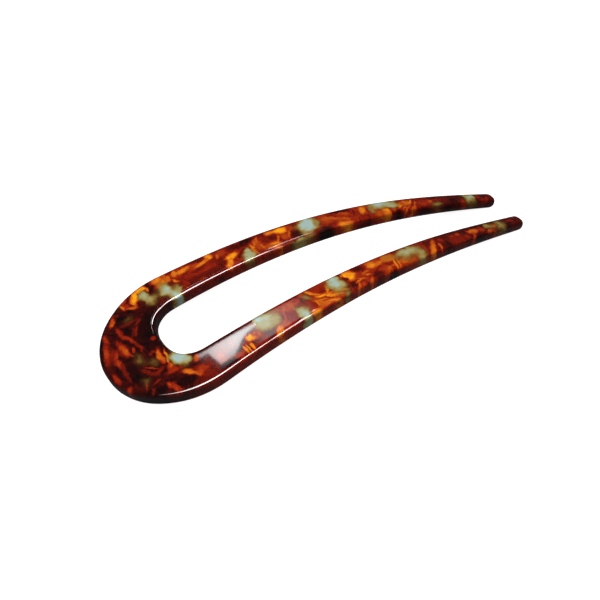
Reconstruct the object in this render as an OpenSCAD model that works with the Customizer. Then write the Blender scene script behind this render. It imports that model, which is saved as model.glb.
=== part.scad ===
// A hair pin cut as one U out of sheet acetate, rounded all over and bent to follow the head.
// It stands as it does on a table: on the crown's end and on both tips.
// X runs from the crown to the tips, Y across the pin, Z up from the table.

/* [Sheet] */
// Thickness at the crown
sheet_t = 4; // [3:0.1:6]
// Thickness at the tips
tip_t = 3.5; // [2:0.1:4.5]
// Radius of the rounded edges at the crown
edge_r = 1; // [0.4:0.05:1.4]

/* [Outline] */
// Length from the crown's end to the tips, measured along the pin before it is bent
pin_len = 130; // [95:1:170]
// Radius of the crown, to the middle of its strip
crown_r = 14.6; // [13:0.1:22]
// Width of the strip at the middle of the crown
crown_w = 16; // [12:0.1:20]
// Width of the strip where the crown ends and the prongs start
shoulder_w = 10.5; // [8:0.1:14]
// Width of each prong just before its rounded tip
tip_w = 4.4; // [3:0.1:7]
// Distance between the middles of the two tips
tip_spacing = 12.2; // [11:0.1:24]
// How far each prong's own line turns inward on its way to the tip, in degrees
prong_bow = 3.3; // [0.5:0.1:6]

/* [Bend] */
// Slope of the tips against the flat crown, in degrees
tip_slope = 29; // [5:0.5:40]
// Length of the flat part of the crown, before the bend starts
flat_len = 2; // [0:0.5:35]

/* [Hidden] */

acetate = [0.42, 0.16, 0.06];

// Sections along one half, from the middle of the crown to a tip
CROWN_STEPS = 16;
PRONG_STEPS = 40;
TIP_STEPS = 6;
// Steps along each rounded edge of a section
EDGE_STEPS = 4;
// Steps in which the bend is added up along the pin
BEND_STEPS = 100;
// Steps in which the pin is tilted until it stands on both its ends
REST_STEPS = 6;

// How the strip narrows over the crown and then over the prong.
// Columns: share of the stretch, share of the narrowing that is done by there.
PLACE = 0;
DONE = 1;
CROWN_NARROWING = [[0, 0], [0.3, 0.2], [0.6, 0.65], [1, 1]];
PRONG_NARROWING = [[0.33, 0.37], [0.67, 0.65], [1, 1]];

// Share of the length where the pin starts to get thinner, and how round its edges end up,
// as a share of the thickness at the tips
THIN_FROM = 0.25;
TIP_EDGE = 0.45;

// Smooth step from 0 to 1
function ease(x) = let (c = min(max(x, 0), 1)) c * c * (3 - 2 * c);
function blend(start, end, share) = start + (end - start) * share;

// The crown's line is an arc, and the prong's is a slack arc that leaves it without a kink.
// The chord of the slack arc passes the crown's centre at the distance that the bow leaves.
crown_centre = crown_w / 2 + crown_r;
tip_run = pin_len - crown_centre;
tip_side = tip_spacing / 2;
half_bow = prong_bow / 2;
chord_deg = asin(crown_r * cos(half_bow) / norm([tip_run, tip_side])) - atan2(tip_side, tip_run);
toe_deg = chord_deg - half_bow;
crown_turn = 90 + toe_deg;
shoulder = [crown_centre + crown_r * sin(toe_deg), crown_r * cos(toe_deg)];
prong_chord = norm([pin_len, tip_side] - shoulder);
crown_arc = crown_r * crown_turn * PI / 180;
prong_arc = prong_chord * half_bow * PI / 180 / sin(half_bow);

// Middle of the strip at a share of the crown's arc or of the prong's.
// Columns of the result: place along, place across, heading.
function on_crown(share) =
    let (turn = crown_turn * share)
    [crown_centre - crown_r * cos(turn), crown_r * sin(turn), 90 - turn];
function on_prong(share) =
    let (run = prong_chord * sin(half_bow * share) / sin(half_bow), way = toe_deg + half_bow * share)
    [shoulder.x + run * cos(way), shoulder.y - run * sin(way), -toe_deg - prong_bow * share];

// Widths that the outline passes through.
// Columns: distance from the middle of the crown along the strip, width.
width_marks = concat(
    [for (row = CROWN_NARROWING) [crown_arc * row[PLACE], blend(crown_w, shoulder_w, row[DONE])]],
    [for (row = PRONG_NARROWING)
        [crown_arc + prong_arc * row[PLACE], blend(shoulder_w, tip_w, row[DONE])]]
);
last_mark = len(width_marks) - 1;

// Change of width at a mark: none in the middle of the crown, where the two halves meet
function mark_change(i) =
    let (step = width_marks[min(i + 1, last_mark)] - width_marks[max(i - 1, 0)])
    i == 0 ? 0 : step[1] / step[0];

// Width at a distance along the strip, on a smooth curve through the marks
function strip_w(distance) =
    let (
        i = max([for (k = [0 : last_mark - 1]) if (width_marks[k][0] <= distance) k]),
        span = width_marks[i + 1][0] - width_marks[i][0],
        t = (distance - width_marks[i][0]) / span,
        leaving = mark_change(i) * span * t * (1 - t) * (1 - t),
        arriving = mark_change(i + 1) * span * t * t * (1 - t)
    )
    blend(width_marks[i][1], width_marks[i + 1][1], ease(t)) + leaving - arriving;

// Sections of one half. Columns: place along, place across, heading, width, fullness.
// The tip is rounded off over half its width, where the fullness falls to nothing.
FULL = 1;
round_from = 1 - tip_w / 2 / prong_arc;
function prong_section(share, fullness) =
    concat(on_prong(share), [strip_w(crown_arc + prong_arc * share), fullness]);
half_sections = concat(
    [for (i = [0 : CROWN_STEPS - 1]) let (share = i / CROWN_STEPS)
        concat(on_crown(share), [strip_w(crown_arc * share), FULL])],
    [for (i = [0 : PRONG_STEPS - 1]) prong_section(round_from * i / PRONG_STEPS, FULL)],
    [for (i = [0 : TIP_STEPS - 1]) let (turn = 90 * i / TIP_STEPS)
        prong_section(blend(round_from, 1, sin(turn)), cos(turn))]
);

// Outline of one section, once round from its outer side.
// Columns of the result: distance outward, height over the middle of the sheet.
function section_outline(w, t, r) = [
    for (corner = [0 : 3], i = [0 : EDGE_STEPS])
        let (
            out = (corner == 0 || corner == 3) ? w / 2 - r : r - w / 2,
            up = corner < 2 ? t / 2 - r : r - t / 2,
            turn = 90 * (corner + i / EDGE_STEPS)
        )
        [out + r * cos(turn), up + r * sin(turn)]
];

// Points of one section on the flat sheet, side 1 to the left of the crown and -1 to the right
function flat_ring(section, side) =
    let (
        thinning = ease((section[0] / pin_len - THIN_FROM) / (1 - THIN_FROM)),
        fullness = section[4],
        w = section[3] * fullness,
        t = blend(sheet_t, tip_t, thinning) * fullness,
        r = min(blend(edge_r, TIP_EDGE * tip_t, thinning), TIP_EDGE * t, TIP_EDGE * w)
    )
    [for (p = section_outline(w, t, r))
        [section[0] - p[0] * sin(section[2]), side * (section[1] + p[0] * cos(section[2])), p[1]]];

// The bend, as the slope at a distance along the flat pin and the place that adds up to.
// Columns of the table: distance, place along, place below the crown.
function slope(along) = tip_slope * ease((along - flat_len) / (pin_len - flat_len));
bend_step = pin_len / BEND_STEPS;
bend_table = [
    for (
        i = 0, along = 0, below = 0;
        i <= BEND_STEPS;
        along = along + bend_step * cos(slope((i + 0.5) * bend_step)),
        below = below + bend_step * sin(slope((i + 0.5) * bend_step)),
        i = i + 1
    )
    [i * bend_step, along, below]
];
bend_along = [for (row = bend_table) [row[0], row[1]]];
bend_below = [for (row = bend_table) [row[0], row[2]]];
function bent(p) =
    let (s = slope(p.x))
    [lookup(p.x, bend_along) + p.z * sin(s), p.y, p.z * cos(s) - lookup(p.x, bend_below)];
function ring(section, side) = [for (p = flat_ring(section, side)) bent(p)];

// The pin is tilted until the crown's end and the tips are equally low
function lowest(points, tilt) = min([for (p = points) p.z * cos(tilt) + p.x * sin(tilt)]);
last_section = len(half_sections) - 1;
crown_points = [for (i = [0 : CROWN_STEPS]) each ring(half_sections[i], 1)];
prong_points = [for (i = [CROWN_STEPS : last_section]) each ring(half_sections[i], 1)];
function settle(tilt, steps_left) =
    let (crown_is_over = lowest(crown_points, tilt) - lowest(prong_points, tilt))
    steps_left < 1 ? tilt : settle(tilt + atan2(crown_is_over, pin_len), steps_left - 1);
rest_tilt = settle(0, REST_STEPS);

// All sections, from the left tip round the crown to the right one, and the two tips' ends
tip_end = on_prong(1);
shell = concat(
    [for (i = [last_section : -1 : 0]) each ring(half_sections[i], 1)],
    [for (i = [1 : last_section]) each ring(half_sections[i], -1)],
    [for (side = [1, -1]) bent([tip_end[0], side * tip_end[1], 0])]
);
turned = [for (p = shell)
    [p.x * cos(rest_tilt) - p.z * sin(rest_tilt), p.y, p.z * cos(rest_tilt) + p.x * sin(rest_tilt)]];
places_along = [for (p = turned) p.x];
middle_along = (min(places_along) + max(places_along)) / 2;
table_top = min([for (p = turned) p.z]);
placed = [for (p = turned) [p.x - middle_along, p.y, p.z - table_top]];

// Faces between neighbouring sections, split so that both halves are alike, and round the tips
RING = 4 * (EDGE_STEPS + 1);
ring_count = 2 * last_section + 1;
function quad(a, b, c, d, left) = left ? [[a, b, c], [a, c, d]] : [[a, b, d], [b, c, d]];
walls = [
    for (i = [0 : ring_count - 2], k = [0 : RING - 1])
        let (near = i * RING, far = near + RING, next = (k + 1) % RING)
        each quad(near + k, near + next, far + next, far + k, i < last_section)
];
left_end = ring_count * RING;
last_ring = left_end - RING;
left_cap = [for (k = [0 : RING - 1]) [left_end, (k + 1) % RING, k]];
right_cap = [for (k = [0 : RING - 1]) [left_end + 1, last_ring + k, last_ring + (k + 1) % RING]];

module pin() {
    color(acetate) polyhedron(placed, concat(walls, left_cap, right_cap), convexity = 6);
}

pin();
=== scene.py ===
# A french hair pin, cut as one U out of tortoiseshell acetate, polished and bent to follow the head.
# It is modelled flat, in the sheet, and then bent and set down as the real one is.
# X runs from the crown to the tips, Y across the pin, Z up from the table.
import bmesh
import bpy
import math
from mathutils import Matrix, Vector


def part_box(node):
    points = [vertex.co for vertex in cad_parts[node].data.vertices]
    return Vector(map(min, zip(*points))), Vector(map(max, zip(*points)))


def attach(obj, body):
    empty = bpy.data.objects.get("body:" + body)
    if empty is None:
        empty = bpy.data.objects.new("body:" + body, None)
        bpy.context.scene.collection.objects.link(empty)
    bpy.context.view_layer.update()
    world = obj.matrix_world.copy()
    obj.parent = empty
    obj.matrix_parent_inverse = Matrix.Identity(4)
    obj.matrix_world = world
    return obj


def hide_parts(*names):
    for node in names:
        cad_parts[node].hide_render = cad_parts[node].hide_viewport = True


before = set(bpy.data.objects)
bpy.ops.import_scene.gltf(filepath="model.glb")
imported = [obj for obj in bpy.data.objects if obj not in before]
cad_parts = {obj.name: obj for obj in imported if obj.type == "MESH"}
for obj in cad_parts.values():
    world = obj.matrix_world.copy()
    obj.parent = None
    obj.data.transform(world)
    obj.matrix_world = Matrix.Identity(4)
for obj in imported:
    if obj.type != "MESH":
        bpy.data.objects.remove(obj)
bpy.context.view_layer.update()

MM = 0.001
# Distances below this count as none
TOUCH = 0.001 * MM

# Sizes of the pin, the same as the solid's: thickness of the sheet at the crown and at the tips,
# radius of the rounded edges at the crown, and length before the bend
SHEET_T = 4 * MM
TIP_T = 3.5 * MM
EDGE_R = 1 * MM
PIN_LEN = 130 * MM
# Radius of the crown's line, widths of the strip at the crown's middle, at the shoulders and at the tips,
# and distance between the middles of the tips
CROWN_R = 14.6 * MM
CROWN_W = 16 * MM
SHOULDER_W = 10.5 * MM
TIP_W = 4.4 * MM
TIP_SPACING = 12.2 * MM
# How far each prong's line turns inward, slope of the tips against the flat crown, and length of the crown
# that stays flat
PRONG_BOW = math.radians(3.3)
TIP_SLOPE = math.radians(29)
FLAT_LEN = 2 * MM

# How the strip narrows over the crown and then over the prong.
# Columns: share of the stretch, share of the narrowing that is done by there.
CROWN_NARROWING = ((0, 0), (0.3, 0.2), (0.6, 0.65), (1, 1))
PRONG_NARROWING = ((0.33, 0.37), (0.67, 0.65), (1, 1))

# Share of the length where the pin starts to get thinner, and how round its edges end up, as a share of the
# thickness at the tips
THIN_FROM = 0.25
TIP_EDGE = 0.45

# Sections along one half of the pin, and steps round each edge of a section
CROWN_STEPS = 16
PRONG_STEPS = 40
TIP_STEPS = 8
EDGE_STEPS = 5
# Two cuts keep the ends of each flat side of a section crisp. How much of the side lies between them, in
# percent, and how many more cuts divide that stretch.
CRISP_PERCENT = 97
FLAT_CUTS = 2
# Cosine of the angle between a point's two edges, below which the point lies on a straight line
STRAIGHT = -0.9999
SMOOTH_LEVELS = 2

# Points of the guide that the pin is bent along, smoothness of the guide between them, how far it goes on
# beyond the tips, and steps in which the bend is added up
GUIDE_POINTS = 14
GUIDE_RESOLUTION = 64
GUIDE_SPARE = 1 * MM
BEND_STEPS = 400
# Steps in which the pin is tilted until it stands on both its ends
REST_STEPS = 6


def ease(x):
    """Smooth step from 0 to 1."""
    c = min(max(x, 0), 1)
    return c * c * (3 - 2 * c)


def blend(start, end, share):
    return start + (end - start) * share


# The crown's line is an arc, and the prong's is a slack arc that leaves it without a kink
crown_centre = CROWN_W / 2 + CROWN_R
tip_run = PIN_LEN - crown_centre
tip_side = TIP_SPACING / 2
half_bow = PRONG_BOW / 2
chord_turn = math.asin(CROWN_R * math.cos(half_bow) / math.hypot(tip_run, tip_side))
chord_turn -= math.atan2(tip_side, tip_run)
toe = chord_turn - half_bow
crown_turn = math.pi / 2 + toe
shoulder = (crown_centre + CROWN_R * math.sin(toe), CROWN_R * math.cos(toe))
prong_chord = math.dist((PIN_LEN, tip_side), shoulder)
crown_arc = CROWN_R * crown_turn
prong_arc = prong_chord * half_bow / math.sin(half_bow)


def on_crown(share):
    """Place along, place across and heading of the strip at a share of the crown's arc."""
    turn = crown_turn * share
    return crown_centre - CROWN_R * math.cos(turn), CROWN_R * math.sin(turn), math.pi / 2 - turn


def on_prong(share):
    """The same at a share of the prong's arc."""
    run = prong_chord * math.sin(half_bow * share) / math.sin(half_bow)
    way = toe + half_bow * share
    heading = -toe - PRONG_BOW * share
    return shoulder[0] + run * math.cos(way), shoulder[1] - run * math.sin(way), heading


# Widths that the outline passes through.
# Columns: distance from the middle of the crown along the strip, width.
width_marks = [
    (crown_arc * place, blend(CROWN_W, SHOULDER_W, done)) for place, done in CROWN_NARROWING
]
width_marks += [
    (crown_arc + prong_arc * place, blend(SHOULDER_W, TIP_W, done)) for place, done in PRONG_NARROWING
]


def mark_change(i):
    """Change of width at a mark: none in the middle of the crown, where the two halves meet."""
    before, after = width_marks[max(i - 1, 0)], width_marks[min(i + 1, len(width_marks) - 1)]
    return (after[1] - before[1]) / (after[0] - before[0]) if i else 0


def strip_width(distance):
    """Width at a distance along the strip, on a smooth curve through the marks."""
    i = max(k for k, mark in enumerate(width_marks[:-1]) if mark[0] <= distance)
    span = width_marks[i + 1][0] - width_marks[i][0]
    t = (distance - width_marks[i][0]) / span
    leaving = mark_change(i) * span * t * (1 - t) * (1 - t)
    arriving = mark_change(i + 1) * span * t * t * (1 - t)
    return blend(width_marks[i][1], width_marks[i + 1][1], ease(t)) + leaving - arriving


def slope(along):
    """Slope of the bend at a distance along the flat pin."""
    return TIP_SLOPE * ease((along - FLAT_LEN) / (PIN_LEN - FLAT_LEN))


def bent_place(along):
    """Where a point of the mid-sheet ends up: place along and height, with the flat crown at 0."""
    step = along / BEND_STEPS
    slopes = [slope((k + 0.5) * step) for k in range(BEND_STEPS)]
    return sum(step * math.cos(s) for s in slopes), -sum(step * math.sin(s) for s in slopes)


def select_edges(wanted):
    """In edit mode, selects the edges that are as wanted, and nothing else."""
    bpy.ops.mesh.select_mode(type="EDGE")
    bpy.ops.mesh.select_all(action="DESELECT")
    mesh = bmesh.from_edit_mesh(bpy.context.edit_object.data)
    for edge in mesh.edges:
        edge.select_set(wanted(edge))
    bmesh.update_edit_mesh(bpy.context.edit_object.data)


def select_side_middles():
    """In edit mode, selects the points that lie on a straight line between their two neighbours."""
    bpy.ops.mesh.select_mode(type="VERT")
    bpy.ops.mesh.select_all(action="DESELECT")
    mesh = bmesh.from_edit_mesh(bpy.context.edit_object.data)
    for point in mesh.verts:
        first, second = ((edge.other_vert(point).co - point.co).normalized() for edge in point.link_edges)
        point.select_set(first.dot(second) < STRAIGHT)
    bmesh.update_edit_mesh(bpy.context.edit_object.data)


def is_level(edge):
    first, second = edge.verts
    return abs(first.co.z - second.co.z) < TOUCH


def is_upright(edge):
    first, second = edge.verts
    return math.hypot(first.co.x - second.co.x, first.co.y - second.co.y) < TOUCH


def add_section(along, across, heading, width, fullness):
    """Stands one cross-section across the strip: an oblong with rounded corners."""
    thinning = ease((along / PIN_LEN - THIN_FROM) / (1 - THIN_FROM))
    wide = width * fullness
    thick = blend(SHEET_T, TIP_T, thinning) * fullness
    radius = min(blend(EDGE_R, TIP_EDGE * TIP_T, thinning), TIP_EDGE * thick, TIP_EDGE * wide)
    place = (along, across, 0)
    upright = (math.pi / 2, 0, heading + math.pi / 2)
    bpy.ops.mesh.primitive_plane_add(size=wide, location=place, rotation=upright)
    bpy.ops.transform.resize(value=(1, 1, thick / wide), center_override=place)
    bpy.ops.mesh.bevel(offset=radius, segments=EDGE_STEPS, affect="VERTICES", clamp_overlap=False)


def add_crown_section(share):
    add_section(*on_crown(share), strip_width(crown_arc * share), 1)


def add_prong_section(share, fullness):
    add_section(*on_prong(share), strip_width(crown_arc + prong_arc * share), fullness)


def split_sides():
    """Cuts the flat sides of all sections close to both ends, and further between."""
    select_edges(lambda edge: is_level(edge) or is_upright(edge))
    bpy.ops.mesh.subdivide(number_cuts=1)
    select_side_middles()
    bpy.ops.mesh.bevel(
        offset_type="PERCENT", offset_pct=CRISP_PERCENT, affect="VERTICES", clamp_overlap=False
    )
    bpy.ops.mesh.subdivide(number_cuts=FLAT_CUTS)


def cut_pin():
    """One half of the flat pin, lofted through its sections from the crown's middle to the tip."""
    bpy.ops.object.select_all(action="DESELECT")
    bpy.ops.mesh.primitive_plane_add()
    pin = bpy.context.object
    pin.name = "hair_pin"
    bpy.ops.object.mode_set(mode="EDIT")
    # The plane only opens the mesh that the sections are added to
    bpy.ops.mesh.select_all(action="SELECT")
    bpy.ops.mesh.delete(type="VERT")
    for k in range(CROWN_STEPS):
        add_crown_section(k / CROWN_STEPS)
    # The tip is rounded off over half its width
    round_from = 1 - TIP_W / 2 / prong_arc
    for k in range(PRONG_STEPS):
        add_prong_section(round_from * k / PRONG_STEPS, 1)
    for k in range(TIP_STEPS):
        turn = math.pi / 2 * k / TIP_STEPS
        add_prong_section(blend(round_from, 1, math.sin(turn)), math.cos(turn))
    split_sides()
    bpy.ops.mesh.select_mode(type="EDGE")
    bpy.ops.mesh.select_all(action="SELECT")
    bpy.ops.mesh.delete(type="ONLY_FACE")
    bpy.ops.mesh.select_all(action="SELECT")
    bpy.ops.mesh.bridge_edge_loops()
    return pin


def close_tip():
    """Closes the tip's last small section and draws its middle out to the tip's end."""
    select_edges(lambda edge: edge.is_boundary and edge.verts[0].co.x > crown_centre)
    bpy.ops.mesh.edge_face_add()
    last_turn = math.pi / 2 * (TIP_STEPS - 1) / TIP_STEPS
    bpy.ops.mesh.poke(offset=TIP_W / 2 * (1 - math.sin(last_turn)))


def select_only(piece):
    bpy.ops.object.select_all(action="DESELECT")
    piece.select_set(True)
    bpy.context.view_layer.objects.active = piece


def apply_modifier(piece, kind, **settings):
    bpy.ops.object.modifier_add(type=kind)
    modifier = piece.modifiers[-1]
    for name, value in settings.items():
        setattr(modifier, name, value)
    bpy.ops.object.modifier_apply(modifier=modifier.name)


def round_over(pin):
    """Mirrors the half, joins both at the crown's middle and smooths the whole."""
    bpy.ops.object.mode_set(mode="OBJECT")
    apply_modifier(pin, "MIRROR", use_axis=(False, True, False), merge_threshold=TOUCH)
    bpy.ops.object.mode_set(mode="EDIT")
    bpy.ops.mesh.select_all(action="SELECT")
    bpy.ops.mesh.remove_doubles(threshold=TOUCH)
    bpy.ops.mesh.normals_make_consistent(inside=False)
    bpy.ops.object.mode_set(mode="OBJECT")
    apply_modifier(pin, "SUBSURF", levels=SMOOTH_LEVELS, render_levels=SMOOTH_LEVELS)


def mark_sheet(pin):
    """Keeps each point's place in the flat sheet, in millimetres, for the pattern of the acetate."""
    places = [axis / MM for vertex in pin.data.vertices for axis in vertex.co]
    pin.data.attributes.new("sheet", "FLOAT_VECTOR", "POINT").data.foreach_set("vector", places)


def bend_pin(pin):
    """Bends the flat pin along a guide, as warm acetate is bent over a former."""
    bpy.ops.curve.primitive_bezier_curve_add()
    guide = bpy.context.object
    guide.data.twist_mode = "Z_UP"
    guide.data.resolution_u = GUIDE_RESOLUTION
    points = guide.data.splines[0].bezier_points
    points.add(GUIDE_POINTS - len(points))
    reach = (PIN_LEN + GUIDE_SPARE) / (GUIDE_POINTS - 1)
    for k, point in enumerate(points):
        along, height = bent_place(k * reach)
        lean = slope(k * reach)
        # Handles a third of the way to the next point keep an even pace along the guide
        pull = Vector((math.cos(lean), 0, -math.sin(lean))) * reach / 3
        point.handle_left_type = point.handle_right_type = "FREE"
        point.co = along, 0, height
        point.handle_left = point.co - pull
        point.handle_right = point.co + pull
    bpy.context.view_layer.objects.active = pin
    apply_modifier(pin, "CURVE", object=guide, deform_axis="POS_X")
    bpy.data.objects.remove(guide)


def lowest(places, tilt):
    """Height of the lowest of some places, given along and up, after a tilt."""
    return min(up * math.cos(tilt) + along * math.sin(tilt) for along, up in places)


def set_down(pin):
    """Tilts the pin until it stands on the crown's end and on both tips, and puts it where the solid is."""
    places = [(vertex.co.x, vertex.co.z) for vertex in pin.data.vertices]
    crown_places = [place for place in places if place[0] < crown_centre]
    prong_places = [place for place in places if place[0] >= crown_centre]
    tilt = 0
    for _ in range(REST_STEPS):
        tilt += math.atan2(lowest(crown_places, tilt) - lowest(prong_places, tilt), PIN_LEN)
    select_only(pin)
    pin.rotation_euler.y = -tilt
    bpy.ops.object.transform_apply(rotation=True, location=False, scale=False)
    low = [min(vertex.co[axis] for vertex in pin.data.vertices) for axis in range(3)]
    high = [max(vertex.co[axis] for vertex in pin.data.vertices) for axis in range(3)]
    solid_low, solid_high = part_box("pin")
    middle_off = (solid_low.x + solid_high.x) / 2 - (low[0] + high[0]) / 2
    pin.location = middle_off, 0, solid_low.z - low[2]
    bpy.ops.object.transform_apply(rotation=False, location=True, scale=False)
    bpy.ops.object.shade_smooth()


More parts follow.
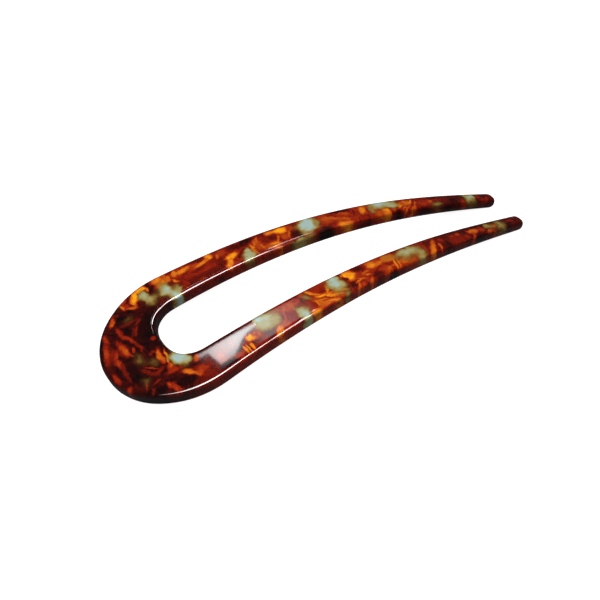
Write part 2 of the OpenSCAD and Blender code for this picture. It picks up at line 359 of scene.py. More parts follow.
# The pattern of the sheet, charted in millimetres along and across the flat pin.
# Warmth runs from 0, near-black maroon, through dark red-brown, red-orange and orange to 1, yellow amber.
# Columns: along, across, half length, half width, turn in degrees, warmth.
FLAMES = (
    # Grounds of the crown and of both tips
    (9, 0, 25, 30, 0, 0.12),
    (119, 8, 22, 9, 0, 0.2),
    (112, -9, 26, 9, 0, 0.2),
    # Crown, upper half: dark places
    (14, 4, 4.6, 2.6, 80, 0),
    (16.4, 8, 4, 1.7, 60, 0.01),
    (15, 11, 2.6, 1.6, 30, 0.12),
    (10.4, 12.7, 2.2, 1.5, 40, 0.02),
    (10, 7.8, 2.0, 1.2, 80, 0.02),
    (6.2, 7.7, 3.4, 0.85, 63, 0.08),
    (2.4, 6, 5, 0.7, 68, 0.02),
    (13, -0.6, 2.6, 1.2, 100, 0.05),
    # Crown, upper half: long streaks
    (3.9, 4, 3.8, 1.1, 66, 0.32),
    (3.1, 5.2, 5.0, 0.95, 70, 0.5),
    (4.8, 9, 2.4, 0.7, 78, 0.45),
    (4.3, 2.2, 3.2, 0.7, 62, 0.47),
    (4.2, 0, 1.9, 1.2, 100, 0.53),
    (5.9, 3, 1.8, 0.7, 95, 0.3),
    (7, 3.5, 4.2, 1.3, 99, 0.52),
    (7.3, 2.4, 1.9, 0.8, 105, 0.6),
    (8, 0.5, 1.4, 0.45, 105, 0.53),
    (8.4, 8.7, 2.7, 0.7, 91, 0.44),
    (9, 5.8, 2.4, 0.7, 120, 0.44),
    (9.5, 4.4, 1.2, 0.6, 110, 0.48),
    (10.6, 2.2, 2.8, 0.55, 112, 0.4),
    (11, 0.6, 1.6, 0.5, 85, 0.4),
    (9.1, 1.2, 1.3, 0.4, 75, 0.55),
    (11.4, 10.1, 3.0, 0.5, 176, 0.3),
    (13.7, 8.9, 1.4, 0.8, 30, 0.35),
    (12.2, 6.4, 2.4, 0.4, 52, 0.37),
    (11.4, 6.6, 1.9, 0.6, 55, 0.28),
    (14.5, 1.4, 1.0, 0.9, 0, 0.42),
    (8.3, 13.3, 2.3, 1.0, 52, 0.6),
    (9.7, 14.2, 1.5, 0.7, 50, 0.26),
    # Crown, lower half: dark places
    (3.3, -3, 3.2, 0.6, 92, 0.03),
    (6.2, -4, 2.5, 1.5, 90, 0.02),
    (6, -7.1, 1.8, 1.6, 0, 0),
    (9.3, -14, 2.4, 1.7, 0, 0),
    (7, -14.6, 5.4, 1.4, 132, 0.03),
    (15.3, -15.6, 3.4, 1.8, 0, 0.02),
    (11, -12.3, 2.4, 1.2, 0, 0.16),
    # Crown, lower half: streaks
    (1.9, -3.9, 2.5, 0.8, 95, 0.45),
    (4.6, -3.4, 4.2, 0.7, 88, 0.3),
    (3, -9.2, 1.6, 0.95, 60, 0.46),
    (8.8, -7, 2.3, 0.75, 115, 0.36),
    (10.2, -6.6, 2.2, 0.35, 130, 0.5),
    (6.9, -10.6, 1.8, 0.35, 60, 0.42),
    (9.6, -11.2, 1.6, 0.4, 20, 0.4),
    (11.2, -8.8, 2.3, 0.9, 10, 0.33),
    (12.2, -2.6, 0.9, 0.7, 0, 0.42),
    (13.4, -4.4, 2.9, 1.0, 78, 0.66),
    (13.4, -6.4, 1.5, 0.8, 80, 0.62),
    (14.7, -6.2, 3.2, 0.5, 77, 0.82),
    (14.2, -9.2, 1.3, 1.1, 0, 0.63),
    (14.6, -10.8, 2.9, 1.2, 170, 0.44),
    (7.4, -13.2, 1.3, 0.5, 60, 0.32),
    (12.3, -15.4, 2.9, 1.05, 122, 0.47),
    (11.4, -14.2, 1.4, 0.45, 95, 0.52),
    (17.3, -13.8, 2.5, 1.0, 135, 0.72),
    (18.8, -15.9, 1.5, 0.7, 120, 0.62),
    (20.3, -11.5, 1.6, 0.7, 62, 0.62),
    (19.4, -13.8, 1.6, 1.1, 0, 0.34),
    (20.2, -15.2, 1.9, 1.7, 0, 0.53),
    (20.8, -17.2, 2.0, 1.1, 0, 0.36),
    (23, -14.2, 1.7, 2.1, 0, 0.52),
    (21.7, -13.4, 1.5, 0.6, 62, 0.36),
    # Far shoulder
    (13.7, 15.8, 1.5, 1.1, 100, 0.45),
    (12.6, 16, 1.9, 0.6, 93, 0.7),
    (14.2, 14.1, 1.9, 0.6, 145, 0.62),
    (13.6, 17.4, 1.6, 0.6, 20, 0.52),
    (15.5, 15.4, 2.4, 0.8, 90, 0.76),
    (16.5, 16.8, 2.4, 1.2, 85, 1),
    (18.7, 18.1, 2.4, 1.3, 175, 0.94),
    (21.2, 17.7, 1.6, 0.75, 148, 0.13),
    (21, 15.9, 1.7, 0.85, 80, 0.1),
    (20.3, 16.8, 1.3, 0.45, 100, 0.76),
    (23.6, 18, 2.7, 1.4, 170, 0.77),
    (24.2, 16.3, 2.4, 1.2, 0, 0.8),
    (25.4, 18.4, 1.0, 0.9, 60, 0.68),
    (26.4, 16.8, 1.2, 1.6, 0, 0.68),
    (27.4, 16.5, 1.4, 0.5, 70, 0.34),
    (27.7, 14, 1.4, 0.8, 100, 0.32),
    (27.8, 14.8, 1.9, 0.4, 112, 0.76),
    (22.1, 11.1, 1.3, 1.0, 110, 0.24),
    (18.4, 10.2, 2.4, 1.4, 45, 0.08),
    # Far prong
    (28.3, 17.3, 1.1, 1.0, 60, 0.74),
    (30.7, 16.7, 2.9, 1.15, 5, 0.79),
    (31, 18.1, 2.6, 0.7, 177, 0.48),
    (28.6, 15.3, 0.9, 0.7, 0, 0.42),
    (35, 17.5, 3.0, 1.1, 175, 0.27),
    (34.3, 16.2, 1.6, 0.8, 0, 0.54),
    (35.7, 15.6, 3.0, 0.65, 12, 0.72),
    (38.4, 16.7, 1.6, 1.3, 80, 0.88),
    (37.2, 16.3, 1.2, 0.8, 0, 0.68),
    (34, 13.5, 7, 1.5, 178, 0.42),
    (35.5, 11, 7.5, 1.8, 178, 0.27),
    (33.6, 10.9, 1.4, 0.6, 0, 0.42),
    (29.4, 11.8, 1.4, 1.2, 0, 0.42),
    (41.6, 16, 2.2, 1.5, 178, 0.52),
    (40.3, 15.4, 1.1, 0.5, 80, 0.68),
    (47.5, 15.7, 4.4, 1.6, 174, 0.2),
    (49.6, 16, 2.2, 0.8, 170, 0.08),
    (43.4, 12.9, 2.4, 1.3, 5, 0.93),
    (42, 10.9, 2.2, 1.1, 55, 0.79),
    (44.3, 10.8, 1.4, 1.2, 0, 0.48),
    (46.3, 12.4, 2.3, 0.6, 45, 0.28),
    (49.6, 11.5, 3.2, 0.5, 96, 0.78),
    (51.6, 12, 2.0, 2.4, 0, 0.56),
    (51.4, 14.6, 1.7, 0.7, 40, 0.6),
    (51.5, 14.2, 2.8, 0.5, 45, 0.67),
    (52, 11.3, 1.3, 0.4, 95, 0.7),
    (54.4, 12.8, 2.3, 1.6, 0, 0.33),
    (53.9, 15.2, 2.0, 0.9, 165, 0.28),
    (54, 10.4, 2.0, 0.8, 160, 0.62),
    (55.6, 10.3, 2.0, 0.6, 150, 0.72),
    (56.7, 11.5, 2.0, 0.5, 66, 0.72),
    (55, 9.1, 2.2, 0.6, 148, 0.7),
    (56, 14.9, 1.8, 1.0, 165, 0.77),
    (59, 14.2, 2.5, 1.5, 172, 0.98),
    (58.9, 11.7, 1.9, 2.2, 0, 0.57),
    (60.4, 11.7, 2.2, 0.4, 70, 0.65),
    (61.5, 13.8, 1.3, 1.2, 0, 0.52),
    (62.4, 10.8, 2.5, 1.7, 20, 0.12),
    (63.4, 14.5, 0.9, 0.7, 0, 0.3),
    (72.2, 12.2, 2.2, 2.4, 0, 0.6),
    (75, 12.3, 3.6, 0.7, 158, 0.36),
    (78, 11.8, 2.8, 0.9, 165, 0.56),
    (77.5, 13.2, 5, 0.7, 170, 0.14),
    (74.6, 11.1, 3.8, 0.4, 150, 0.62),
    (72.7, 9.1, 2.2, 1.2, 0, 0.36),
    (69.6, 7.6, 3.2, 2.2, 0, 0),
    (77, 9.6, 2.2, 0.9, 160, 0.6),
    (75.4, 9.2, 1.3, 0.8, 0, 0.6),
    (76.3, 7.9, 3.0, 1.0, 170, 0.77),
    (80, 9.6, 2.2, 2.0, 0, 0.45),
    (80.6, 11.3, 1.9, 0.9, 170, 0.4),
    (83.6, 11.1, 2.2, 1.1, 58, 0.8),
    (83, 8, 2.8, 1.2, 175, 0.36),
    (81.5, 12.8, 1.2, 0.6, 0, 0.5),
    (82.6, 6, 4, 1.3, 175, 0.03),
    (85.3, 10, 0.9, 2.1, 0, 0.42),
    (87.4, 8.1, 1.5, 1.7, 0, 0.58),
    (89.7, 6.9, 1.7, 3.2, 0, 0.7),
    (89.9, 8.8, 1.2, 1.0, 0, 0.86),
    (92.2, 8.2, 1.2, 0.9, 0, 0.6),
    (91.5, 6.3, 0.9, 1.5, 0, 0.38),
    (93.4, 6, 1.8, 1.7, 0, 0.1),
    (95.2, 9.2, 1.7, 1.0, 50, 0.82),
    (97.2, 9.7, 2.5, 1.4, 175, 0.65),
    (97, 6.9, 3.0, 2.0, 175, 0.44),
    (96.4, 8, 1.9, 0.35, 35, 0.66),
    (96.6, 7, 2.1, 0.35, 35, 0.66),
    (98, 6.4, 1.9, 0.35, 38, 0.66),
    (96.4, 5.7, 1.6, 0.35, 38, 0.6),
    (99.3, 9.8, 1.6, 0.4, 45, 0.78),
    (100, 8.4, 2.2, 0.4, 58, 0.68),
    (99.4, 7.1, 1.8, 0.4, 58, 0.62),
    (103.3, 8.3, 3.2, 1.9, 175, 0.5),
    (105.4, 8.2, 1.4, 0.9, 0, 0.64),
    (102, 5.4, 3.6, 1.0, 178, 0.12),
    (108, 8.2, 2.4, 1.3, 175, 0.4),
    (107.2, 9.3, 1.8, 0.5, 175, 0.2),
    (111.4, 7.6, 3.0, 1.9, 175, 0.3),
    (113.6, 6.8, 1.6, 1.4, 0, 0.12),
    (111, 4.3, 2.8, 1.2, 175, 0),
    (114.4, 4, 1.5, 1.1, 0, 0.4),
    (116.7, 5.3, 1.5, 2.6, 0, 0.44),
    (124.7, 6.3, 4.2, 2.8, 172, 0.24),
    (123.2, 6.8, 1.2, 0.8, 70, 0.44),
    (125, 5.2, 1.9, 0.9, 20, 0.42),
    # Near shoulder
    (29.5, -13.4, 9, 5, 5, 0.1),
    (27, -13.2, 4.6, 2.8, 5, 0.33),
    (25.2, -14.9, 1.8, 1.6, 0, 0.48),
    (25.6, -16.4, 2.4, 1.2, 0, 0.42),
    (26, -18.1, 3.2, 0.9, 5, 0.05),
    (29.3, -17.3, 1.9, 1.2, 5, 0.5),
    (31, -16.9, 2.2, 0.45, 92, 0.85),
    (31.8, -16.9, 2.2, 0.35, 92, 0.85),
    (32.9, -17, 2.0, 0.55, 88, 0.84),
    (32, -15.2, 1.6, 0.6, 150, 0.42),
    (33.9, -14.3, 2.2, 1.5, 145, 0.97),
    (34.7, -12.8, 1.7, 0.45, 15, 0.16),
    (35.8, -14.3, 1.4, 1.7, 0, 0.6),
    (36.3, -17.3, 1.6, 1.1, 0, 0.36),
    (38.5, -15.4, 2.2, 2.1, 0, 0.26),
    (40.3, -17, 2.6, 1.2, 50, 0.79),
    (39.5, -19.4, 2.3, 1.2, 4, 0.54),
    (31.3, -20, 0.9, 1.0, 0, 0.42),
    (46, -11.5, 5, 1.7, 5, 0.57),
    (42.7, -15.8, 1.5, 1.7, 0, 0.56),
    (44.2, -13.2, 2.4, 0.4, 75, 0.64),
    (47.4, -12.2, 1.9, 0.35, 70, 0.6),
    (45.3, -15.3, 1.6, 2.8, 0, 0.36),
    # Near prong
    (50, -12, 0.6, 2.8, 0, 0.3),
    (55.2, -14.6, 5.6, 3.0, 5, 0.66),
    (50.6, -10, 1.0, 0.9, 0, 0.55),
    (53.4, -11.1, 2.9, 0.6, 133, 0.83),
    (55.2, -10.7, 2.1, 1.5, 0, 0.44),
    (56.2, -11.4, 0.9, 1.2, 0, 0.36),
    (57.4, -12, 1.9, 0.5, 75, 0.87),
    (51.5, -14.8, 1.3, 1.9, 0, 0.4),
    (52.8, -14.5, 1.4, 0.35, 90, 0.74),
    (54, -14.5, 1.0, 1.0, 0, 0.7),
    (55.6, -13.6, 3.4, 0.4, 150, 0.86),
    (56.4, -14.6, 3.0, 0.3, 155, 0.42),
    (57.8, -14.4, 3.1, 0.45, 157, 0.84),
    (56.6, -15.6, 2.8, 0.3, 158, 0.44),
    (57.2, -16.1, 2.6, 0.45, 160, 0.76),
    (60.2, -14.3, 2.4, 0.5, 165, 0.88),
    (51.2, -17, 1.9, 1.0, 0, 0.8),
    (55.5, -17.4, 3.6, 0.9, 6, 0.36),
    (57.5, -17.9, 3.8, 0.8, 6, 0.1),
    (64.3, -10.8, 2.7, 2.5, 0, 0.97),
    (62.9, -11.6, 0.9, 1.5, 0, 0.3),
    (67.8, -9.6, 2.2, 1.3, 0, 0.18),
    (64.2, -14.3, 2.6, 1.2, 5, 0.28),
    (67.7, -12.2, 2.4, 1.7, 160, 0.46),
    (66.2, -13.6, 2.2, 0.3, 25, 0.72),
    (69.8, -13.2, 2.0, 0.3, 150, 0.7),
    (68.9, -11.8, 1.6, 0.4, 15, 0.64),
    (67.2, -13.3, 1.7, 0.4, 150, 0.66),
    (64.3, -16, 3.4, 0.5, 50, 0.66),
    (66.7, -15, 2.4, 0.8, 30, 0.48),
    (66.8, -17, 3.0, 0.9, 8, 0.08),
    (68.7, -15.4, 2.3, 0.5, 62, 0.62),
    (72, -10, 2.2, 1.6, 0, 0.8),
    (74, -10.1, 1.5, 1.5, 0, 0.66),
    (72.4, -12, 2.6, 0.9, 0, 0.44),
    (71.6, -14.4, 2.0, 1.9, 0, 0.22),
    (74.2, -14.7, 2.1, 0.7, 65, 0.58),
    (76, -13, 2.0, 0.4, 10, 0.62),
    (76.3, -11.8, 1.6, 0.8, 0, 0.36),
    (77.4, -9.9, 3.0, 1.8, 0, 0.76),
    (77.9, -12.4, 2.4, 0.5, 80, 0.76),
    (79, -12.6, 2.4, 0.45, 70, 0.7),
    (76.4, -15.5, 2.6, 1.5, 0, 0.01),
    (79.6, -15.1, 1.9, 1.0, 0, 0.26),
    (81, -12.4, 2.0, 1.6, 0, 0.7),
    (83, -13.6, 2.0, 1.0, 0, 0.56),
    (83.3, -14.9, 2.3, 0.8, 4, 0.36),
    (91.3, -9.2, 2.6, 1.8, 0, 0.24),
    (89, -10.5, 0.7, 2.2, 0, 0.44),
    (92.9, -9.2, 1.9, 0.8, 65, 0.6),
    (91, -12, 3.6, 1.1, 60, 0.71),
    (93.8, -11.2, 2.1, 0.5, 80, 0.62),
    (95.3, -9.1, 2.0, 1.1, 0, 0.4),
    (96.5, -11.8, 2.2, 1.8, 0, 0.16),
    (101, -10.4, 4.2, 2.2, 4, 0.36),
    (102, -8.4, 1.3, 0.9, 0, 0.54),
    (99.6, -8.7, 1.3, 0.7, 0, 0.44),
    (104.3, -10.1, 0.9, 1.1, 0, 0.42),
    (107.9, -8.6, 2.8, 1.3, 5, 0.7),
    (106.3, -11, 2.9, 0.8, 58, 0.53),
    (109.3, -11.7, 2.9, 1.4, 5, 0.02),
    (111.4, -8.5, 1.9, 1.2, 5, 0.5),
    (112.3, -10.6, 1.9, 1.2, 5, 0.24),
    (113.9, -9.6, 1.4, 0.7, 10, 0.6),
    (116.3, -7.9, 1.2, 1.4, 0, 0.68),
    (115.6, -9.8, 1.3, 0.9, 0, 0.5),
    (124.4, -7.7, 4.4, 3.0, 8, 0.22),
    (124, -6.9, 1.9, 0.9, 10, 0.38),
)

# Paleness runs from 0, none, through olive and sage to 1, pale blue.
# Columns: along, across, half length, half width, turn in degrees, paleness.
SAGES = (
    # Crown and shoulders
    (9.1, -2.4, 3.9, 2.2, 95, 0.34),
    (7.2, -9.4, 2.8, 2.2, 90, 0.32),
    (11.5, -5.4, 2.6, 2.0, 110, 0.34),
    (12, 11.1, 2.6, 1.8, 0, 0.26),
    (19.8, 13.1, 3.4, 2.9, 120, 0.5),
    (18.7, 15.4, 3.4, 2.3, 100, 0.78),
    (24.2, 15.6, 3.2, 1.8, 0, 0.45),
    (24.2, 13.2, 3.6, 3.0, 120, 0.92),
    (25.5, 10, 3.4, 2.4, 95, 1.1),
    (27.2, 11.7, 2.6, 1.5, 80, 0.6),
    (18, -10.9, 3.2, 2.4, 30, 0.5),
    (17, -8.1, 4.2, 3.0, 120, 1.2),
    (39.8, -12.4, 5.6, 4.6, 20, 0.42),
    (39.4, -12.3, 4.6, 3.9, 20, 0.85),
    (38.3, -10.8, 2.8, 1.8, 0, 1),
    (41.6, -13.6, 2.6, 2.6, 0, 0.62),
    # Near prong
    (48, -15, 2.9, 3.9, 0, 0.6),
    (48.2, -16.4, 2.1, 3.4, 0, 0.98),
    (51.5, -11.8, 2.1, 2.4, 0, 0.5),
    (60, -12, 3.8, 5.0, 0, 0.4),
    (60, -11.5, 3.0, 3.9, 0, 0.85),
    (60.2, -10.4, 2.2, 2.4, 0, 1),
    (61, -15.6, 1.9, 2.0, 0, 0.5),
    (60.5, -17.6, 1.6, 1.9, 0, 0.62),
    (74, -15.2, 2.0, 1.6, 65, 0.22),
    (77.4, -9.9, 3.2, 2.2, 0, 0.3),
    (79, -11.3, 1.6, 2.0, 0, 0.3),
    (81.4, -12, 2.0, 1.7, 0, 0.3),
    (84, -10.4, 7.0, 3.8, 4, 0.42),
    (85, -12.6, 4.2, 2.6, 0, 0.36),
    (86.8, -11.8, 3.0, 4.2, 0, 0.56),
    (83.2, -9.6, 4.4, 2.6, 8, 0.82),
    (86.4, -15, 3.0, 1.3, 5, 0.25),
    (93, -13.8, 1.6, 1.2, 0, 0.2),
    (114.4, -7.5, 2.4, 2.2, 10, 0.85),
    (117, -8.2, 6.5, 3.2, 5, 0.26),
    (119, -8, 3.4, 3.6, 0, 0.5),
    (117, -10.7, 3.6, 1.5, 5, 0.28),
    # Far prong
    (47.4, 10.2, 3.2, 2.3, 25, 0.85),
    (48.3, 12, 1.3, 2.4, 160, 0.7),
    (47, 7.4, 2.4, 1.3, 0, 0.5),
    (63.4, 13.2, 2.0, 2.4, 0, 0.4),
    (66.3, 11.8, 5.4, 4.6, 160, 0.36),
    (65.4, 11, 2.8, 3.6, 150, 0.75),
    (66.9, 12.7, 3.0, 3.8, 170, 1.3),
    (69.2, 12.2, 1.7, 3.2, 170, 0.5),
    (62.4, 8.1, 5.6, 1.2, 178, 0.6),
    (86.3, 9.7, 1.6, 3.0, 0, 0.42),
    (88, 10.4, 1.7, 1.1, 0, 0.3),
    (90.2, 10.8, 6.8, 2.8, 172, 0.6),
    (90.6, 11.6, 5.6, 2.0, 172, 1),
    (93, 9.9, 2.8, 2.0, 0, 0.72),
    (92.2, 8.4, 1.7, 1.1, 0, 0.3),
    (107, 6.3, 3.6, 1.9, 175, 0.42),
    (120.1, 6.9, 3.5, 3.0, 170, 0.9),
    (119.4, 4.9, 2.6, 1.6, 0, 0.35),
)


def srgb(red, green, blue):
    """A colour as picked on a screen, from 0 to 255, in the shader's own measure.

    It has the power curve alone, without the short straight stretch at the dark end.
    """
    return tuple(((c / 255 + 0.055) / 1.055) ** 2.4 for c in (red, green, blue)) + (1,)


# Colours of the acetate along its warmth and along its paleness. Columns: place on the scale, colour.
WARM_COLOURS = (
    (0.0, srgb(11, 2, 2)),
    (0.15, srgb(38, 4, 3)),
    (0.3, srgb(72, 12, 4)),
    (0.42, srgb(104, 18, 5)),
    (0.5, srgb(121, 28, 7)),
    (0.6, srgb(138, 49, 9)),
    (0.7, srgb(157, 73, 13)),
    (0.8, srgb(176, 94, 15)),
    (0.9, srgb(192, 114, 16)),
    (1.0, srgb(206, 136, 15)),
)
PALE_COLOURS = (
    (0.1, srgb(56, 36, 12)),
    (0.25, srgb(80, 58, 22)),
    (0.4, srgb(108, 83, 35)),
    (0.55, srgb(123, 107, 59)),
    (0.7, srgb(130, 125, 86)),
    (0.85, srgb(132, 138, 111)),
    (1.0, srgb(131, 150, 146)),
)

# Sockets of a Mix node, by number, because those for numbers and for colours have the same names
MIX_SHARE = 0
MIX_NUMBERS = (2, 3)
MIX_COLOURS = (6, 7)
MIXED_NUMBER = 0
MIXED_COLOUR = 2


def connect(tree, node, inputs):
    for name, value in inputs.items():
        if isinstance(value, bpy.types.NodeSocket):
            tree.links.new(value, node.inputs[name])
        else:
            node.inputs[name].default_value = value


def add_node(tree, kind, inputs=None, **settings):
    """A node with its settings. Each input is another node's output or a plain value."""
    node = tree.nodes.new(kind)
    for name, value in settings.items():
        setattr(node, name, value)
    connect(tree, node, inputs or {})
    return node


def mix_numbers(tree, share, first, second):
    inputs = {MIX_SHARE: share, MIX_NUMBERS[0]: first, MIX_NUMBERS[1]: second}
    return add_node(tree, "ShaderNodeMix", inputs).outputs[MIXED_NUMBER]


def mix_colours(tree, share, first, second):
    inputs = {MIX_SHARE: share, MIX_COLOURS[0]: first, MIX_COLOURS[1]: second}
    return add_node(tree, "ShaderNodeMix", inputs, data_type="RGBA").outputs[MIXED_COLOUR]


def smooth_step(tree, value, start, end, first=0.0, last=1.0):
    """Goes softly from the first level to the last, while the value goes from start to end."""
    inputs = {"Value": value, "From Min": start, "From Max": end, "To Min": first, "To Max": last}
    step = add_node(tree, "ShaderNodeMapRange", inputs, interpolation_type="SMOOTHSTEP", clamp=False)
    return step.outputs["Result"]


def colour_ramp(tree, factor, colours):
    ramp = add_node(tree, "ShaderNodeValToRGB", {"Fac": factor})
    stops = ramp.color_ramp.elements
    # A new stop starts in the middle, until each gets its own place
    while len(stops) < len(colours):
        stops.new(0.5)
    for stop, (place, colour) in zip(stops, colours):
        stop.position = place
        stop.color = colour
    return ramp.outputs["Color"]


def new_group(name, inputs, outputs):
    """An empty node group with its sockets. Inputs and outputs: name to kind of socket."""
    group = bpy.data.node_groups.new(name, "ShaderNodeTree")
    for side, sockets in (("INPUT", inputs), ("OUTPUT", outputs)):
        for socket, kind in sockets.items():
            group.interface.new_socket(socket, in_out=side, socket_type="NodeSocket" + kind)
    return group, group.nodes.new("NodeGroupInput").outputs, group.nodes.new("NodeGroupOutput").inputs


def patch_group():
    """Lays one soft oval patch over what is below it."""
    inputs = {
        "Place": "Vector",
        "Middle": "Vector",
        "Turn": "Vector",
        "Size": "Vector",
        "Softness": "Float",
        "Tone": "Float",
        "Below": "Float",
    }
    group, given, result = new_group("patch", inputs, {"Tone": "Float"})
    oval_space = {
        "Vector": given["Place"],
        "Location": given["Middle"],
        "Rotation": given["Turn"],
        "Scale": given["Size"],
    }
    local = add_node(group, "ShaderNodeMapping", oval_space, vector_type="TEXTURE").outputs["Vector"]
    oval = add_node(group, "ShaderNodeTexGradient", {"Vector": local}, gradient_type="SPHERICAL")
    cover = smooth_step(group, oval.outputs["Fac"], 0.0, given["Softness"])
    laid = mix_numbers(group, cover, given["Below"], given["Tone"])
    group.links.new(laid, result["Tone"])
    return group


# Share of a patch's half length and half width over which it fades towards its rim
FLAME_SOFTNESS = 0.7
SAGE_SOFTNESS = 1.0
# How many times as far as charted the soft rims of the patches reach
FLAME_SPREAD = 1.18
SAGE_SPREAD = 1.1
# Half height of the patches in millimetres, so that they go right through the sheet
THROUGH = 200


def lay_patches(tree, group, place, start, chart, softness, spread):
    """Lays a chart's patches one over the other."""
    tone = start
    for along, across, half_length, half_width, turn, level in chart:
        inputs = {
            "Place": place,
            "Middle": (along, across, 0),
            "Turn": (0, 0, math.radians(turn)),
            "Size": (half_length * spread, half_width * spread, THROUGH),
            "Softness": softness,
            "Tone": level,
            "Below": tone,
        }
        patch = tree.nodes.new("ShaderNodeGroup")
        patch.node_tree = group
        connect(tree, patch, inputs)
        tone = patch.outputs["Tone"]
    return tone


# Value that a noise swings round
NOISE_MIDDLE = 0.5
# How both charts waver, coarsely and finely, and how the clouds drift further.
# Columns: scale of the noise, reach in millimetres.
COARSE_WAVER = (0.3, 1.6)
FINE_WAVER = (1.3, 0.6)
CLOUD_DRIFT = (0.42, 2.4)
# Blocks in which the folds keep one direction, and how softly one block goes over into the next
BLOCK_SCALE = 0.15
BLOCK_SOFTNESS = 0.4
# The folds: how fast their noise changes lengthwise, across them and through the sheet, its scale, how wide
# the line on each fold is, in the noise's own measure, and how much folds and lines add to the warmth
FOLD_PACE = (0.22, 1.0, 0.4)
FOLD_SCALE = 0.8
LINE_WIDTH = 0.035
FOLD_WARMTH = 0.45
LINE_WARMTH = 0.1
# Warmth of the ground below all patches: scale of its noise, its swing and its least warmth
GROUND_SCALE = 0.12
GROUND_SWING = 0.5
GROUND_WARMTH = 0.17
# Mottling of the clouds: scale of its noise, its swing and its least share of the charted paleness
MOTTLE_SCALE = 0.55
MOTTLE_SWING = 0.8
MOTTLE_LEAST = 0.6
# Paleness from which a cloud hides the warm colours altogether
CLOUD_COVERS = 0.6
# Heights over the middle of the sheet, in millimetres, up to which the side of the pin goes and from which
# its face does, and how bright the side is against the face: painted shade that darkens the side's colour
# for the lesser light that falls on it
SIDE_UP_TO = 1.1
FACE_FROM = 1.75
SIDE_PAINTED_SHADE = 0.42
# Acetate under a thin polish
ACETATE_ROUGHNESS = 0.06
ACETATE_IOR = 1.48
POLISH_WEIGHT = 1.0
POLISH_ROUGHNESS = 0.03


def make_acetate():
    """Polished tortoiseshell: warm flames with fine folds, and pale clouds over them."""
    material = bpy.data.materials.new("tortoiseshell acetate")
    material.use_nodes = True
    tree = material.node_tree
    shader = tree.nodes["Principled BSDF"]
    sheet = add_node(tree, "ShaderNodeAttribute", attribute_name="sheet").outputs["Vector"]

    def noise(vector, scale):
        return add_node(tree, "ShaderNodeTexNoise", {"Vector": vector, "Scale": scale}).outputs

    def vector_math(operation, first, second):
        inputs = {0: first, 1: second}
        return add_node(tree, "ShaderNodeVectorMath", inputs, operation=operation).outputs[0]

    def maths(operation, *values):
        return add_node(tree, "ShaderNodeMath", dict(enumerate(values)), operation=operation).outputs[0]

    def drift(scale, reach):
        """A wandering shift of up to half the reach, in millimetres."""
        centred = vector_math("SUBTRACT", noise(sheet, scale)["Color"], (NOISE_MIDDLE,) * 3)
        return vector_math("MULTIPLY", centred, (reach,) * 3)

    # Places on the charts, wavering
    warped = vector_math("ADD", sheet, vector_math("ADD", drift(*COARSE_WAVER), drift(*FINE_WAVER)))
    cloud_place = vector_math("ADD", warped, drift(*CLOUD_DRIFT))

    # Folded lines, whose direction changes from block to block
    cells = {"Vector": warped, "Scale": BLOCK_SCALE, "Smoothness": BLOCK_SOFTNESS}
    blocks = add_node(tree, "ShaderNodeTexVoronoi", cells, feature="SMOOTH_F1")
    channels = add_node(tree, "ShaderNodeSeparateColor", {"Color": blocks.outputs["Color"]})
    block_turn = {"Vector": warped, "Angle": maths("MULTIPLY", channels.outputs[0], math.pi)}
    turned = add_node(tree, "ShaderNodeVectorRotate", block_turn, rotation_type="Z_AXIS").outputs[0]
    folds = noise(vector_math("MULTIPLY", turned, FOLD_PACE), FOLD_SCALE)["Fac"]
    fold_swing = maths("SUBTRACT", folds, NOISE_MIDDLE)
    lines = smooth_step(tree, maths("ABSOLUTE", fold_swing), 0.0, LINE_WIDTH, 1.0, 0.0)

    # Warm flames
    group = patch_group()
    ground = maths("MULTIPLY_ADD", noise(sheet, GROUND_SCALE)["Fac"], GROUND_SWING, GROUND_WARMTH)
    flames = lay_patches(tree, group, warped, ground, FLAMES, FLAME_SOFTNESS, FLAME_SPREAD)
    folded = maths("MULTIPLY_ADD", fold_swing, FOLD_WARMTH, flames)
    warmth = maths("MULTIPLY_ADD", lines, LINE_WARMTH, folded)
    warm = colour_ramp(tree, warmth, WARM_COLOURS)

    # Pale clouds over them
    clouds = lay_patches(tree, group, cloud_place, 0.0, SAGES, SAGE_SOFTNESS, SAGE_SPREAD)
    mottling = maths("MULTIPLY_ADD", noise(warped, MOTTLE_SCALE)["Fac"], MOTTLE_SWING, MOTTLE_LEAST)
    paleness = maths("MULTIPLY", clouds, mottling)
    pale = colour_ramp(tree, paleness, PALE_COLOURS)
    colour = mix_colours(tree, smooth_step(tree, paleness, 0.0, CLOUD_COVERS), warm, pale)

    # Painted shade: the rounded sides are darkened in the colour itself, standing in for the lesser light
    # that falls on them
    height = add_node(tree, "ShaderNodeSeparateXYZ", {"Vector": sheet}).outputs["Z"]
    painted_side_shade = smooth_step(tree, maths("ABSOLUTE", height), SIDE_UP_TO, FACE_FROM, SIDE_PAINTED_SHADE, 1.0)
    with_painted_shade = add_node(tree, "ShaderNodeVectorMath", {0: colour, "Scale": painted_side_shade}, operation="SCALE")
    tree.links.new(with_painted_shade.outputs[0], shader.inputs["Base Color"])
    shader.inputs["Roughness"].default_value = ACETATE_ROUGHNESS
    shader.inputs["IOR"].default_value = ACETATE_IOR
    shader.inputs["Coat Weight"].default_value = POLISH_WEIGHT
    shader.inputs["Coat Roughness"].default_value = POLISH_ROUGHNESS
    return material


# Where the photo was taken from, and how many degrees the camera looks down and turns from the Y axis
CAMERA_PLACE = (-0.1014, -0.15131, 0.16879)
CAMERA_DOWN = 43.46
CAMERA_TURN = -31.59
# Lens and film width in millimetres, and the nearest distance that is shown
LENS = 54.5
FILM_W = 36
NEAREST = 10 * MM


def make_camera():
    turn = (math.radians(90 - CAMERA_DOWN), 0, math.radians(CAMERA_TURN))
    bpy.ops.object.camera_add(location=CAMERA_PLACE, rotation=turn)
    camera = bpy.context.object
    camera.name = "camera"
    camera.data.lens = LENS
    camera.data.sensor_width = FILM_W
    camera.data.clip_start = NEAREST
    bpy.context.scene.camera = camera


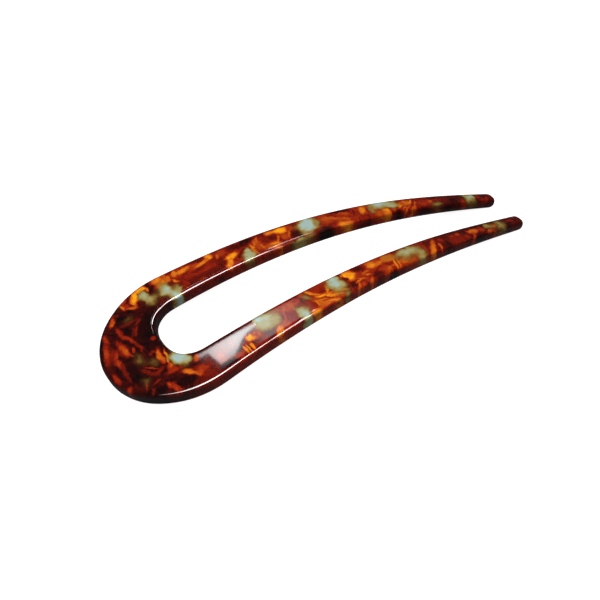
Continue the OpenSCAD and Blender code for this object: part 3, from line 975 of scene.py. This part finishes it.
# The key light's place, its width and depth, and its radiance
KEY_PLACE = (-0.15, -0.45, 0.8)
KEY_SIZE = (1.0, 1.2)
KEY_RADIANCE = 6.4


def add_key_light():
    """A big soft light that gives the colours their brightness, and that the polish doesn't mirror."""
    width, depth = KEY_SIZE
    bpy.ops.object.light_add(type="AREA", location=KEY_PLACE)
    light = bpy.context.object
    light.name = "key_light"
    light.data.shape = "RECTANGLE"
    light.data.size = width
    light.data.size_y = depth
    light.data.energy = KEY_RADIANCE * math.pi * width * depth
    light.visible_glossy = False


def bare_material(name):
    """A material with no shader yet."""
    material = bpy.data.materials.new(name)
    material.use_nodes = True
    material.node_tree.nodes.remove(material.node_tree.nodes["Principled BSDF"])
    return material


# Glowing cards that only reflections show, and a black flag that keeps them off the prongs' far ends.
# Each has its name, its height in millimetres, the direction in degrees in which its glow changes, its
# radiance where the change starts and where it ends, and its corners in millimetres, seen from above.
CARDS = (
    ("card_left", 800, 0, 5, 20, (
        (-180, -110), (-180, -640), (-600, -640), (-760, -420), (-900, -130),
    )),
    ("card_front", 800, 0, 20, 22, (
        (-180, -110), (-180, -640), (140, -640), (140, -400), (0, -310), (-100, -200),
    )),
    ("card_front_right", 800, 0, 18, 6, (
        (140, -300), (140, -640), (330, -640), (330, -300),
    )),
    ("card_right", 801, 0, 18, 18, (
        (200, -100), (230, -700), (420, -750), (560, -450), (560, -50), (520, 260), (400, 480),
        (230, 480), (250, 250),
    )),
    ("card_back", 800, 60, 5, 14, (
        (-116, 645), (-112, 639), (-88, 635), (-84, 623), (-78, 606), (-35, 604), (-12, 610),
        (6, 617), (25, 622), (50, 625), (76, 628), (76, 631), (25, 633), (-35, 637),
    )),
    ("card_back_middle", 801, 0, 0, 1.8, (
        (30, 655), (90, 655), (90, 592), (30, 592),
    )),
    ("card_back_right", 801, 0, 1.8, 0.1, (
        (90, 655), (290, 655), (290, 592), (90, 592),
    )),
    ("flag", 100, 0, 0, 0, (
        (20, 55), (14, 20), (9, -8), (10, -45), (26, -70), (40, -125), (70, -227), (150, -260),
        (150, 55),
    )),
)


def add_card(name, height, direction, first_radiance, last_radiance, corners):
    """A level card whose glow changes evenly in one direction. Nothing but reflections shows it."""
    bpy.ops.mesh.primitive_circle_add(
        vertices=len(corners), fill_type="NGON", location=(0, 0, height * MM)
    )
    card = bpy.context.object
    card.name = name
    for vertex, (x, y) in zip(card.data.vertices, corners):
        vertex.co = (x * MM, y * MM, 0)
    way = Vector((math.cos(math.radians(direction)), math.sin(math.radians(direction)), 0))
    reaches = [way.dot(vertex.co) for vertex in card.data.vertices]
    material = bare_material(name)
    tree = material.node_tree
    place = add_node(tree, "ShaderNodeTexCoord").outputs["Object"]
    along = add_node(tree, "ShaderNodeVectorMath", {0: place, 1: way}, operation="DOT_PRODUCT")
    change = {
        "Value": along.outputs["Value"],
        "From Min": min(reaches),
        "From Max": max(reaches),
        "To Min": first_radiance,
        "To Max": last_radiance,
    }
    strength = add_node(tree, "ShaderNodeMapRange", change).outputs["Result"]
    glow = add_node(tree, "ShaderNodeEmission", {"Strength": strength}).outputs[0]
    tree.links.new(glow, tree.nodes["Material Output"].inputs["Surface"])
    card.data.materials.append(material)
    card.visible_camera = False
    card.visible_diffuse = False
    card.visible_shadow = False


# Greys from 0 to 1. The camera sees white surroundings, and a floor that its own glow makes white too.
# Bounced light finds dark surroundings and a grey floor, and the polish mirrors a nearly black floor.
ROOM_SEEN = 1
ROOM_ELSE = 0.02
FLOOR_SEEN = 0.3
FLOOR_MIRRORED = 0.03
FLOOR_ELSE = 0.5
FLOOR_GLOW = 0.9
# Size of the floor in metres, and how far it stays below the pin
FLOOR_SIZE = 8
FLOOR_GAP = 0.02 * MM


def grey(level):
    return (level, level, level, 1)


def make_room():
    """Surroundings that are white to the camera alone."""
    world = bpy.data.worlds.new("studio")
    bpy.context.scene.world = world
    world.use_nodes = True
    tree = world.node_tree
    ray = add_node(tree, "ShaderNodeLightPath").outputs
    surround = mix_colours(tree, ray["Is Camera Ray"], grey(ROOM_ELSE), grey(ROOM_SEEN))
    tree.links.new(surround, tree.nodes["Background"].inputs["Color"])


def lay_floor():
    """A pale floor that glows to the camera alone and that the polish hardly mirrors."""
    bpy.ops.mesh.primitive_plane_add(size=FLOOR_SIZE, location=(0, 0, -FLOOR_GAP))
    floor = bpy.context.object
    floor.name = "floor"
    material = bare_material("pale floor")
    tree = material.node_tree
    ray = add_node(tree, "ShaderNodeLightPath").outputs
    unseen = mix_colours(tree, ray["Is Glossy Ray"], grey(FLOOR_ELSE), grey(FLOOR_MIRRORED))
    tint = mix_colours(tree, ray["Is Camera Ray"], unseen, grey(FLOOR_SEEN))
    matt = add_node(tree, "ShaderNodeBsdfDiffuse", {"Color": tint}).outputs[0]
    shown_glow = {0: ray["Is Camera Ray"], 1: FLOOR_GLOW}
    strength = add_node(tree, "ShaderNodeMath", shown_glow, operation="MULTIPLY").outputs[0]
    glow = add_node(tree, "ShaderNodeEmission", {"Strength": strength}).outputs[0]
    both = add_node(tree, "ShaderNodeAddShader", {0: matt, 1: glow}).outputs[0]
    tree.links.new(both, tree.nodes["Material Output"].inputs["Surface"])
    floor.data.materials.append(material)


def make_studio():
    add_key_light()
    for card in CARDS:
        add_card(*card)
    make_room()
    lay_floor()
    view = bpy.context.scene.view_settings
    view.view_transform = "Standard"
    view.look = "None"


make_camera()
make_studio()
pin = cut_pin()
close_tip()
round_over(pin)
mark_sheet(pin)
bend_pin(pin)
set_down(pin)
pin.data.materials.append(make_acetate())
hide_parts("pin")
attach(pin, "root")
